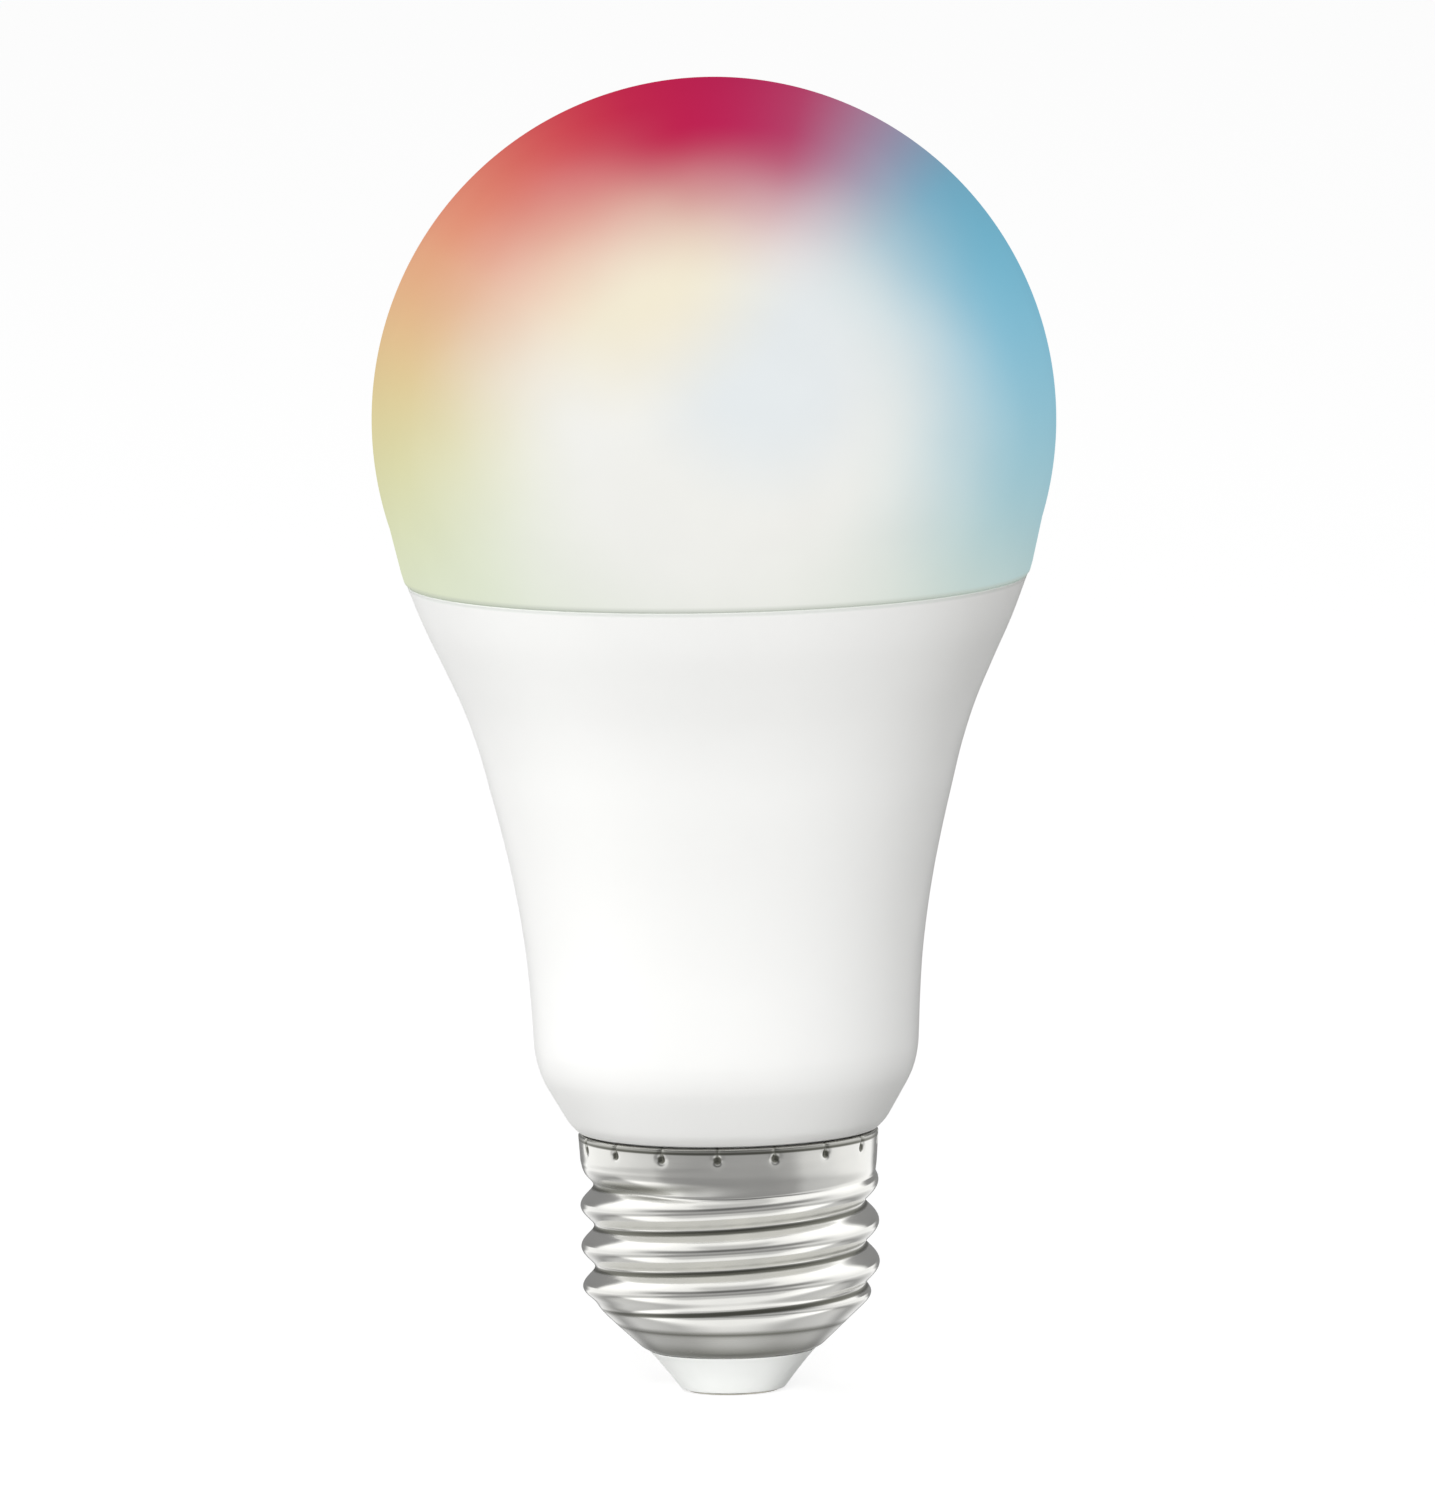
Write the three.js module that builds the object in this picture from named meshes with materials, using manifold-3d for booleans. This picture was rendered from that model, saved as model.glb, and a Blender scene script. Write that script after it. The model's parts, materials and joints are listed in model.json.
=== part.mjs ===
// A smart LED light bulb with an Edison screw cap, as an assembly of its separate pieces.
// Millimetres. The origin is the middle of the centre contact's flat face, +Z runs up the bulb's
// axis to the top of the dome, and -Y is the front.
import * as THREE from "three";
import { mergeVertices } from "three/addons/utils/BufferGeometryUtils.js";
import Module from "manifold-3d";

// ---------------------------------------------------------------- driving dimensions
// Dome: a sphere that runs down into a straight tapered skirt.
const DOME_R = 30;
const DOME_CENTRE_Z = 85.8;
const DOME_WALL = 1.3;
const DOME_SKIRT_ANGLE = -0.3047; // where the sphere ends, in radians from its equator
const SEAM_Z = 71.8;
const SEAM_R = 27.25;
const SEAM_GAP = 0.1;

// Tongue under the dome, and the groove in the housing's rim that takes it.
const TONGUE = { outer: 25.8, inner: 25.1, bottom: 70.35 };
const GROOVE = { outer: 25.95, inner: 24.95, bottom: 69.6 };

// Housing: a plastic skin with a neck that goes down into the cap.
const HOUSING_WALL = 1.6; // measured level, not square to the slope
const SHOULDER = { r: 13.15, z: 23.15 };
const CHIN = { r: 15.9, z: 27.3 }; // where the straight lower cone turns up
const HOUSING_FLARE = [
  [16.9, 31.1], [17.36, 38.2], [18.4, 45.2], [20, 52.3],
  [21.97, 59.4], [25, 66.4], [26.7, 70], [SEAM_R, SEAM_Z],
];
const NECK = { outer: 11.4, inner: 10, bottom: 8.2, top: 25.2 };

// Screw cap: 7 turns to the inch, right-handed.
const PITCH = 25.4 / 7;
const CREST_R = 13.1;
const ROOT_R = 11.93;
const CREST_AT_PLUS_X = 7.52; // height of a crest on the +X side
const SHEET = 0.35;
const SHELL_BOTTOM = { r: 7.65, z: 3.7 };
const TAPER_SLOPE = 0.94; // rise of the tapered bottom for each millimetre outwards
const SKIRT = { bottomR: 13, bottomZ: 20, rimR: 13.2, rimZ: 23.05 };
const THREAD_START_Z = 8.1; // where the tapered bottom has grown to the thread's size
const THREAD_FADE_Z = 18.2; // the groove starts to run out here

// Insulator and centre contact.
const INSULATOR = {
  holeR: 1.65, lipInner: 4.2, lipOuter: 4.5, lip: 0.2, bottom: 0.55, seatR: 7.4, plugR: 7, top: 5.6,
};
const CONTACT = { discR: 4.1, thick: 0.5, tubeR: 1.5, boreR: 1.05, top: 5.9 };
const PIN = { headR: 1.95, head: 0.3, r: 0.9, top: 7 };

// Heat sink, thermal pad and LED board.
const SINK = { wall: 1, gap: 0.15, bottom: 31.5, top: 66.7 };
const PAD = { outer: 22.6, inner: 10.4, bottom: 66.73, thick: 0.3 };
const LED_BOARD = { r: 23.2, bottom: 67.06, thick: 1.5 };
const LED_BOARD_TOP = LED_BOARD.bottom + LED_BOARD.thick;
const SCREW = { x: 18, headR: 2.7, headTall: 1.5, r: 1.3, tip: 61, holeR: 1.55 };
const WHITE_LED = { count: 12, circle: 15.5, along: 3.5, across: 2.8, tall: 0.8 };
const RGB_LED = { count: 4, circle: 9.2, along: 2.8, across: 2.8, tall: 0.9 };
const LED_GAP = 0.03;

// Slots through the LED board and the heat sink, as [x, y] corners.
const RADIO_SLOT = { low: [-8.7, -3.9], high: [8.7, -2.1] };
const PIN_SLOT = { low: [-5, 0.2], high: [5, 3.1] };

// Upright boards: the driver in the housing, and the radio module through the LED board.
const DRIVER = { front: 3, thick: 1.6, bottom: 14, waist: 28.5, top: 61, neckHalf: 7.5, half: 12 };
const DRIVER_BACK = DRIVER.front + DRIVER.thick;
const RADIO = { half: 8, front: -3.5, back: -2.5, bottom: 50, top: 78 };
const RADIO_CAN = { half: 6, deep: 2.1, bottom: 51.5, top: 62.5, wall: 0.25 };
const RADIO_HEADER = { half: 5, bottom: 54, top: 56 };
const LED_HEADER = { half: 4, deep: 2.5, bottom: 57, top: 61, pins: [-3, -1, 1, 3], pinHalf: 0.3 };
const BOARD_GAP = 0.05; // between a board and what sits on it

// Driver components. Their x and y are their middles, and bottom and top are heights.
const BULK_CAPACITOR = { radius: 5, bottom: 32, top: 49, x: -7.4, y: -2.3 };
const OUTPUT_CAPACITOR = { radius: 4, bottom: 39, top: 50, x: 5, y: DRIVER_BACK + 4.15 };
const TRANSFORMER = { x: 4.6, y: -3.4, bottom: 31, width: 13, depth: 5, tall: 12, leg: 3.6, window: 8.4 };
const BRIDGE = { z: 21.5, wide: 4, tall: 4.8, deep: 1.5, legs: 2 };
const DRIVER_CHIP = { z: 31, wide: 3.9, tall: 4.9, deep: 1.5, legs: 4 };
const FILM_CAPACITOR = { left: -9.4, right: -0.6, bottom: 38, top: 46.5, deep: 4.7 };
const FUSE = { x: -4.6, y: 1.3, bottom: 16, tall: 6.6, r: 1.3, endR: 1.55 };
const CHOKE = { x: 2.6, y: -0.9, bottom: 17, tall: 7, r: 3, flangeR: 3.6, flange: 1.2 };

const TURN = 2 * Math.PI;
const ROUND = 40; // sides of the large turned pieces

// ---------------------------------------------------------------- finishes
// Colour, roughness and metalness.
const FINISH = {
  diffuser: [0xf1f2ee, 0.42, 0],
  housing: [0xf4f4f4, 0.38, 0],
  nickel: [0xc9c9c4, 0.22, 1],
  insulator: [0xf3f4f3, 0.3, 0],
  brass: [0xb8a878, 0.35, 1],
  aluminium: [0xb9bcbf, 0.45, 1],
  silicone: [0xe8e8e4, 0.6, 0],
  whiteBoard: [0xeef0ee, 0.5, 0],
  greenBoard: [0x1f6b3f, 0.45, 0],
  blueBoard: [0x20396e, 0.4, 0],
  warmPhosphor: [0xf0b03c, 0.45, 0],
  coolPhosphor: [0xf0dc6a, 0.45, 0],
  clearResin: [0xe9ecec, 0.2, 0],
  steel: [0xb4b6b8, 0.35, 1],
  blackEpoxy: [0x1c1c1e, 0.5, 0],
  blackSleeve: [0x202226, 0.35, 0],
  ferrite: [0x3a3a3c, 0.7, 0],
  yellowTape: [0xe4c53c, 0.4, 0],
  redFilm: [0xa33a2a, 0.35, 0],
  greyCeramic: [0x7f8e86, 0.6, 0],
  redWire: [0xc03030, 0.45, 0],
  whiteWire: [0xe6e6e6, 0.45, 0],
};

// ---------------------------------------------------------------- joining and cutting
const wasm = await Module();
wasm.setup();

function toSolid(geometry) {
  const bare = geometry.clone();
  bare.deleteAttribute("normal");
  bare.deleteAttribute("uv");
  const merged = mergeVertices(bare, 1e-4);
  return new wasm.Manifold(new wasm.Mesh({
    numProp: 3,
    vertProperties: merged.attributes.position.array,
    triVerts: new Uint32Array(merged.index.array),
  }));
}

function toGeometry(solid) {
  const { vertProperties, triVerts } = solid.getMesh();
  const geometry = new THREE.BufferGeometry();
  geometry.setAttribute("position", new THREE.BufferAttribute(vertProperties, 3));
  geometry.setIndex(new THREE.BufferAttribute(triVerts, 1));
  geometry.computeVertexNormals();
  return geometry;
}

function join(...pieces) {
  return toGeometry(pieces.map(toSolid).reduce((whole, piece) => whole.add(piece)));
}

function cut(blank, ...tools) {
  return toGeometry(tools.map(toSolid).reduce((rest, tool) => rest.subtract(tool), toSolid(blank)));
}

// ---------------------------------------------------------------- basic shapes
// A turned solid from [radius, z] corners that go up the outside and down the inside.
function turned(corners, segments) {
  const profile = corners.map(([r, z]) => new THREE.Vector2(r, z));
  return new THREE.LatheGeometry(profile, segments).rotateX(Math.PI / 2);
}

function ring(inner, outer, bottom, top, segments) {
  const start = [inner, bottom];
  return turned([start, [outer, bottom], [outer, top], [inner, top], start], segments);
}

// An upright rod with its middle line at x, y.
function rod(radius, bottom, top, segments, x = 0, y = 0) {
  const corners = [[0, bottom], [radius, bottom], [radius, top], [0, top]];
  return turned(corners, segments).translate(x, y, 0);
}

// A box between two opposite corners.
function block(low, high) {
  const size = high.map((value, i) => value - low[i]);
  const middle = high.map((value, i) => (value + low[i]) / 2);
  return new THREE.BoxGeometry(...size).translate(...middle);
}

// A round wire through a list of points.
function wire(radius, steps, sides, points) {
  const path = new THREE.CatmullRomCurve3(points.map((p) => new THREE.Vector3(...p)));
  const section = new THREE.Shape().absarc(0, 0, radius, 0, TURN);
  const options = { steps, extrudePath: path, bevelEnabled: false, curveSegments: sides };
  return new THREE.ExtrudeGeometry(section, options);
}

// Points along an arc about [0, centreZ], as [radius, z].
function arc(radius, centreZ, from, to, steps) {
  return Array.from({ length: steps + 1 }, (_, i) => {
    const angle = from + ((to - from) * i) / steps;
    return [Math.max(0, radius * Math.cos(angle)), centreZ + radius * Math.sin(angle)];
  });
}

// ---------------------------------------------------------------- shared outlines
const flareCurve = new THREE.SplineCurve(HOUSING_FLARE.map(([r, z]) => new THREE.Vector2(r, z)));
const flarePoints = flareCurve.getPoints(120);

function flareRadius(z) {
  const above = flarePoints.findIndex((p) => p.y >= z);
  if (above < 1) return flarePoints[above < 0 ? flarePoints.length - 1 : 0].x;
  const [a, b] = [flarePoints[above - 1], flarePoints[above]];
  return a.x + ((b.x - a.x) * (z - a.y)) / (b.y - a.y);
}

// The housing's flare between two heights, moved inwards by inset.
function flare(from, to, inset, steps) {
  return Array.from({ length: steps + 1 }, (_, i) => {
    const z = from + ((to - from) * i) / steps;
    return [flareRadius(z) - inset, z];
  });
}

function smooth(from, to, value) {
  return THREE.MathUtils.smoothstep(value, from, to);
}

// ---------------------------------------------------------------- dome and housing
function domeDiffuser() {
  const top = Math.PI / 2;
  const lip = SEAM_Z + SEAM_GAP;
  return turned([
    [TONGUE.outer, lip], [SEAM_R, lip],
    ...arc(DOME_R, DOME_CENTRE_Z, DOME_SKIRT_ANGLE, top, 10),
    ...arc(DOME_R - DOME_WALL, DOME_CENTRE_Z, top, DOME_SKIRT_ANGLE, 8),
    [SEAM_R - DOME_WALL - 0.2, lip + 1], [TONGUE.inner, lip],
    [TONGUE.inner, TONGUE.bottom], [TONGUE.outer, TONGUE.bottom], [TONGUE.outer, lip],
  ], ROUND);
}

function domeAdhesiveRing() {
  return ring(GROOVE.inner + 0.1, GROOVE.outer - 0.1, GROOVE.bottom + 0.03, TONGUE.bottom - 0.03, ROUND);
}

function chinCurve() {
  const [startR, startZ] = HOUSING_FLARE[0];
  return new THREE.QuadraticBezierCurve(
    new THREE.Vector2(CHIN.r, CHIN.z),
    new THREE.Vector2(startR - 0.12, CHIN.z + 1.6),
    new THREE.Vector2(startR, startZ),
  ).getPoints(4).map((p) => [p.x, p.y]);
}

function housingShell() {
  const [startR, startZ] = HOUSING_FLARE[0];
  return turned([
    [NECK.inner, NECK.bottom], [NECK.outer, NECK.bottom], [NECK.outer, SHOULDER.z],
    [SHOULDER.r, SHOULDER.z], [14, 24], ...chinCurve(),
    ...flare(startZ, SEAM_Z, 0, 11).slice(1),
    [GROOVE.outer, SEAM_Z], [GROOVE.outer, GROOVE.bottom], [GROOVE.inner, GROOVE.bottom],
    ...flare(GROOVE.bottom, startZ, HOUSING_WALL, 7).slice(1),
    [CHIN.r - HOUSING_WALL, CHIN.z + 0.8], [NECK.inner, NECK.top - 1.4],
    [NECK.inner, NECK.bottom],
  ], ROUND);
}

// ---------------------------------------------------------------- cap
// Inner and outer envelopes of the thread at a height: its groove and its ridge.
function grooveRadius(z) {
  const taper = SHELL_BOTTOM.r + (z - SHELL_BOTTOM.z) / TAPER_SLOPE;
  const skirt = THREE.MathUtils.mapLinear(z, SKIRT.bottomZ, SKIRT.rimZ, SKIRT.bottomR, SKIRT.rimR);
  const thread = Math.min(taper, ROOT_R);
  return THREE.MathUtils.lerp(thread, skirt, smooth(THREAD_FADE_Z, SKIRT.bottomZ, z));
}

function ridgeHeight(z) {
  const taper = SHELL_BOTTOM.r + (z - SHELL_BOTTOM.z) / TAPER_SLOPE;
  const ridge = Math.min(taper, CREST_R) - Math.min(taper, ROOT_R);
  return ridge * (1 - smooth(THREAD_FADE_Z, SKIRT.bottomZ, z));
}

// 1 on the ridge's crest and 0 at the bottom of the groove.
function threadWave(angle, z) {
  const turns = (z - CREST_AT_PLUS_X) / PITCH - angle / TURN;
  return 0.5 + 0.5 * Math.cos(TURN * turns);
}

function shellHeights() {
  const step = PITCH / 8;
  const rows = Math.ceil((SKIRT.bottomZ - THREAD_START_Z) / step);
  const thread = Array.from({ length: rows + 1 }, (_, i) => THREAD_START_Z + i * step);
  return [SHELL_BOTTOM.z, 4.7, 6.3, 7.4, ...thread, 21.5, SKIRT.rimZ];
}

// A pressed tube whose wall is then moved out along the thread's ridge.
function screwShell() {
  const outside = shellHeights().map((z) => [grooveRadius(z), z]);
  const inside = outside.map(([r, z]) => [r - SHEET, z]).reverse();
  const shell = turned([...outside, ...inside, outside[0]], 32);
  const place = shell.attributes.position;
  for (let i = 0; i < place.count; i++) {
    const [x, y, z] = [place.getX(i), place.getY(i), place.getZ(i)];
    const push = ridgeHeight(z) * threadWave(Math.atan2(y, x), z);
    const grow = 1 + push / Math.hypot(x, y);
    place.setXY(i, x * grow, y * grow);
  }
  shell.computeVertexNormals();
  return shell;
}

function capInsulator() {
  const { holeR, lipInner, lipOuter, lip, bottom, seatR, plugR, top } = INSULATOR;
  const seat = SHELL_BOTTOM.z - 0.05;
  return turned([
    [holeR, bottom], [lipInner, bottom], [lipInner, lip], [lipOuter, lip], [lipOuter + 0.25, 0.45],
    [5.7, 1.7], [6.8, 3.05], [seatR, seat - 0.1], [seatR - 0.1, seat],
    [plugR, seat], [plugR - 0.1, top], [holeR, top], [holeR, bottom],
  ], 28);
}

function contactEyelet() {
  const { discR, thick, tubeR, boreR, top } = CONTACT;
  const recess = PIN.headR + 0.1;
  return turned([
    [recess, 0], [discR - 0.15, 0], [discR, 0.15], [discR, thick], [tubeR, thick], [tubeR, top],
    [boreR, top], [boreR, PIN.head + 0.08], [recess, PIN.head + 0.08], [recess, 0],
  ], 24);
}

function contactPin() {
  const { headR, head, r, top } = PIN;
  return turned([[0, 0], [headR, 0], [headR, head], [r, head], [r, top - 0.6], [0.3, top], [0, top]], 16);
}

// ---------------------------------------------------------------- heat sink and LED board
function slotTool(slot, bottom, top) {
  return block([...slot.low, bottom], [...slot.high, top]);
}

function heatSinkCup() {
  const { wall, gap, bottom, top } = SINK;
  const inset = HOUSING_WALL + gap;
  const corner = 1.2;
  const cup = turned([
    ...flare(bottom, top - corner, inset, 6),
    [flareRadius(top) - inset - 0.9, top], [0, top], [0, top - wall],
    ...flare(top - wall - 0.8, bottom, inset + wall, 6),
    [flareRadius(bottom) - inset, bottom],
  ], ROUND);
  const through = [top - 2 * wall, top + wall];
  const holes = [-1, 1].map((side) => rod(SCREW.holeR, ...through, 16, side * SCREW.x));
  return cut(cup, ...holes, slotTool(RADIO_SLOT, ...through), slotTool(PIN_SLOT, ...through));
}

function roundHole(x, y, radius) {
  return new THREE.Path().absarc(x, y, radius, 0, TURN, true);
}

function slotHole({ low, high }) {
  const path = new THREE.Path().moveTo(low[0], low[1]).lineTo(low[0], high[1]);
  return path.lineTo(high[0], high[1]).lineTo(high[0], low[1]).closePath();
}

// A flat sheet with two screw holes and any other holes.
function drilledDisc(radius, bottom, thick, holes) {
  const outline = new THREE.Shape().absarc(0, 0, radius, 0, TURN);
  const screwHoles = [-1, 1].map((side) => roundHole(side * SCREW.x, 0, SCREW.holeR));
  outline.holes.push(...screwHoles, ...holes);
  const options = { depth: thick, bevelEnabled: false, curveSegments: 20 };
  return new THREE.ExtrudeGeometry(outline, options).translate(0, 0, bottom);
}

function thermalPad() {
  return drilledDisc(PAD.outer, PAD.bottom, PAD.thick, [roundHole(0, 0, PAD.inner)]);
}

function ledBoard() {
  const holes = [slotHole(RADIO_SLOT), slotHole(PIN_SLOT)];
  return drilledDisc(LED_BOARD.r, LED_BOARD.bottom, LED_BOARD.thick, holes);
}

// A light-emitting package: a low block with its light window standing a little proud.
function ledPackage({ along, across, tall }) {
  const rim = 0.35;
  const body = block([-along / 2, -across / 2, 0], [along / 2, across / 2, tall - 0.08]);
  const window = block([rim - along / 2, rim - across / 2, 0.1], [along / 2 - rim, across / 2 - rim, tall]);
  return join(body, window);
}

function placeOnBoard(mesh, circle, angle) {
  mesh.position.set(circle * Math.cos(angle), circle * Math.sin(angle), LED_BOARD_TOP + LED_GAP);
  mesh.rotation.z = angle + Math.PI / 2;
}

function boardScrew() {
  const seat = LED_BOARD_TOP + LED_GAP;
  const { headR, headTall, r, tip } = SCREW;
  return turned([
    [0, tip], [r, tip + 1], [r, seat], [headR, seat], [headR, seat + 0.7],
    [headR - 0.8, seat + headTall], [0, seat + headTall],
  ], 20);
}

// ---------------------------------------------------------------- boards that stand upright
// An extruded outline in the x, z plane, from y = front, thick towards +Y.
function uprightSheet(corners, front, thick) {
  const outline = new THREE.Shape(corners.map(([x, z]) => new THREE.Vector2(x, z)));
  const sheet = new THREE.ExtrudeGeometry(outline, { depth: thick, bevelEnabled: false });
  return sheet.rotateX(Math.PI / 2).translate(0, front + thick, 0);
}

function driverBoard() {
  const { front, thick, bottom, waist, top, neckHalf, half } = DRIVER;
  return uprightSheet([
    [-neckHalf, bottom], [neckHalf, bottom], [neckHalf, waist], [half, waist + 3],
    [half, top], [-half, top], [-half, waist + 3], [-neckHalf, waist],
  ], front, thick);
}

function radioBoard() {
  const { half, front, back, bottom, top } = RADIO;
  const corners = [[-half, bottom], [half, bottom], [half, top], [-half, top]];
  return uprightSheet(corners, front, back - front);
}

// A pressed metal lid over the radio chip.
function radioCan() {
  const { half, deep, bottom, top, wall } = RADIO_CAN;
  const back = RADIO.front - BOARD_GAP;
  const front = back - deep;
  const lid = block([-half, front, bottom], [half, back, top]);
  const inside = block([wall - half, front + wall, bottom + wall], [half - wall, back + 1, top - wall]);
  return cut(lid, inside);
}

// The pin header's plastic between the radio board and the driver board.
function radioHeader() {
  const { half, bottom, top } = RADIO_HEADER;
  return block([-half, RADIO.back + BOARD_GAP, bottom], [half, DRIVER.front - BOARD_GAP, top]);
}

// Four pins that stand up from the driver board through the LED board.
function ledHeader() {
  const { half, deep, bottom, top, pins, pinHalf } = LED_HEADER;
  const back = DRIVER.front - BOARD_GAP;
  const middle = back - deep / 2;
  const body = block([-half, back - deep, bottom], [half, back, top]);
  const pinTop = LED_BOARD_TOP + 1.3;
  const posts = pins.map((x) => (
    block([x - pinHalf, middle - pinHalf, top - 1], [x + pinHalf, middle + pinHalf, pinTop])
  ));
  return join(body, ...posts);
}

// ---------------------------------------------------------------- driver components
// Two lead wires that leave a component's lower end and bend to the driver board's front, if
// towards is 1, or to its back.
function leads(x, y, bottom, spacing, towards) {
  const drop = 1.3;
  const half = 0.3;
  const face = towards > 0 ? DRIVER.front - BOARD_GAP : DRIVER_BACK + BOARD_GAP;
  const [near, far] = [Math.min(y - half, face), Math.max(y + half, face)];
  const foot = bottom - drop;
  return [-0.5, 0.5].flatMap((side) => {
    const middle = x + side * spacing;
    return [
      block([middle - half, y - half, foot], [middle + half, y + half, bottom + 0.5]),
      block([middle - half, near, foot], [middle + half, far, foot + 2 * half]),
    ];
  });
}

// An electrolytic capacitor: a sleeved can with a pressed groove near its leads.
function capacitorCan({ radius, bottom, top, x, y }, towards) {
  const can = turned([
    [0, bottom], [radius - 0.3, bottom], [radius, bottom + 0.3], [radius, bottom + 1.2],
    [radius - 0.4, bottom + 1.7], [radius, bottom + 2.2], [radius, top - 0.5],
    [radius - 0.5, top], [0, top],
  ], 24).translate(x, y, 0);
  return join(can, ...leads(x, y, bottom, radius * 0.7, towards));
}

// An E-shaped ferrite core: an outer frame with a middle leg.
function transformerCore() {
  const { x, y, bottom, width, depth, tall, leg, window } = TRANSFORMER;
  const sideWindow = (width - leg) / 2 - 1.5;
  const frame = block([-width / 2, -depth / 2, 0], [width / 2, depth / 2, tall]);
  const windows = [-1, 1].map((side) => {
    const near = (side * leg) / 2;
    const far = near + side * sideWindow;
    const low = [Math.min(near, far), -depth, (tall - window) / 2];
    return block(low, [Math.max(near, far), depth, (tall + window) / 2]);
  });
  return cut(frame, ...windows).translate(x, y, bottom);
}

// The spool on the middle leg, and the tape-wrapped coil on the spool.
function transformerBobbin() {
  const { x, y, bottom, depth, tall, leg, window } = TRANSFORMER;
  const [low, high] = [(tall - window) / 2 + 0.1, (tall + window) / 2 - 0.1];
  const [holeX, holeY] = [leg / 2 + 0.1, depth / 2 + 0.1];
  const [flangeX, flangeY] = [leg / 2 + 3, depth / 2 + 2.6];
  const spool = join(
    block([-holeX - 0.5, -holeY - 0.5, low], [holeX + 0.5, holeY + 0.5, high]),
    block([-flangeX, -flangeY, low], [flangeX, flangeY, low + 0.7]),
    block([-flangeX, -flangeY, high - 0.7], [flangeX, flangeY, high]),
  );
  return cut(spool, block([-holeX, -holeY, 0], [holeX, holeY, tall])).translate(x, y, bottom);
}

function transformerWinding() {
  const { x, y, bottom, depth, tall, leg, window } = TRANSFORMER;
  const [low, high] = [(tall - window) / 2 + 0.9, (tall + window) / 2 - 0.9];
  const [inX, inY] = [leg / 2 + 0.7, depth / 2 + 0.7];
  const coil = block([-inX - 2, -inY - 1.6, low], [inX + 2, inY + 1.6, high]);
  return cut(coil, block([-inX, -inY, 0], [inX, inY, tall])).translate(x, y, bottom);
}

// A surface-mounted chip on the middle of the driver board's back, with its legs.
function backChip({ z, wide, tall, deep, legs }) {
  const back = DRIVER_BACK + BOARD_GAP;
  const [legHalf, legThick, legReach] = [0.2, 0.45, 0.9];
  const body = block([-wide / 2, back + 0.1, z - tall / 2], [wide / 2, back + deep, z + tall / 2]);
  const pitch = tall / legs;
  const reach = wide / 2 + legReach;
  const feet = Array.from({ length: legs }, (_, i) => {
    const middle = z - tall / 2 + pitch * (i + 0.5);
    return block([-reach, back, middle - legHalf], [reach, back + legThick, middle + legHalf]);
  });
  return join(body, ...feet);
}

function filmCapacitor() {
  const { left, right, bottom, top, deep } = FILM_CAPACITOR;
  const back = DRIVER_BACK + BOARD_GAP;
  return block([left, back, bottom], [right, back + deep, top]);
}

function fuseResistor() {
  const { x, y, bottom, tall, r, endR } = FUSE;
  const top = bottom + tall;
  const body = turned([
    [0, bottom], [r - 0.1, bottom], [endR, bottom + 0.6], [r, bottom + 1.6], [r, top - 1.6],
    [endR, top - 0.6], [r - 0.1, top], [0, top],
  ], 16).translate(x, y, 0);
  return join(body, ...leads(x, y, bottom, 0, 1));
}

// A drum choke: two ferrite flanges with the wound middle between them.
function filterInductor() {
  const { x, y, bottom, tall, r, flangeR, flange } = CHOKE;
  const top = bottom + tall;
  const drum = turned([
    [0, bottom], [flangeR, bottom], [flangeR, bottom + flange], [r, bottom + flange + 0.1],
    [r, top - flange - 0.1], [flangeR, top - flange], [flangeR, top], [0, top],
  ], 24).translate(x, y, 0);
  return join(drum, ...leads(x, y, bottom, r, 1));
}

function liveWire() {
  const board = (DRIVER.front + DRIVER_BACK) / 2;
  return wire(0.6, 16, 4, [
    [-3, board, DRIVER.bottom - 0.1], [-2.9, board - 0.2, 12.2], [-1.6, 2, 10], [-0.2, 0.4, 8.6],
    [0, 0, PIN.top + 0.1],
  ]);
}

function neutralWire() {
  const board = (DRIVER.front + DRIVER_BACK) / 2;
  return wire(0.5, 16, 4, [
    [4, board, DRIVER.bottom - 0.1], [4.2, board - 0.2, 12], [5.6, 2.4, 9.6], [8, 0.8, 7.7],
    [10.3, 0, 7.45],
  ]);
}

// ---------------------------------------------------------------- the assembly
const bulb = new THREE.Group();

function addPart(name, finish, geometry) {
  const [color, roughness, metalness] = FINISH[finish];
  const material = new THREE.MeshStandardMaterial({ color, roughness, metalness });
  const mesh = new THREE.Mesh(geometry, material);
  mesh.name = name;
  bulb.add(mesh);
  return mesh;
}

addPart("dome_diffuser", "diffuser", domeDiffuser());
addPart("dome_adhesive_ring", "silicone", domeAdhesiveRing());
addPart("housing_shell", "housing", housingShell());

addPart("screw_shell", "nickel", screwShell());
addPart("cap_insulator", "insulator", capInsulator());
addPart("contact_eyelet", "brass", contactEyelet());
addPart("contact_pin", "brass", contactPin());

addPart("heat_sink_cup", "aluminium", heatSinkCup());
addPart("thermal_pad", "silicone", thermalPad());
addPart("led_board", "whiteBoard", ledBoard());
for (let i = 0; i < WHITE_LED.count; i++) {
  const kind = i % 2 ? "cool" : "warm";
  const name = `${kind}_led_${Math.floor(i / 2) + 1}`;
  const led = addPart(name, `${kind}Phosphor`, ledPackage(WHITE_LED));
  placeOnBoard(led, WHITE_LED.circle, ((i + 0.5) * TURN) / WHITE_LED.count);
}
for (let i = 0; i < RGB_LED.count; i++) {
  const led = addPart(`rgb_led_${i + 1}`, "clearResin", ledPackage(RGB_LED));
  placeOnBoard(led, RGB_LED.circle, ((i + 0.5) * TURN) / RGB_LED.count);
}
for (const side of [-1, 1]) {
  const screw = addPart(`board_screw_${side < 0 ? 1 : 2}`, "steel", boardScrew());
  screw.position.x = side * SCREW.x;
}

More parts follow.
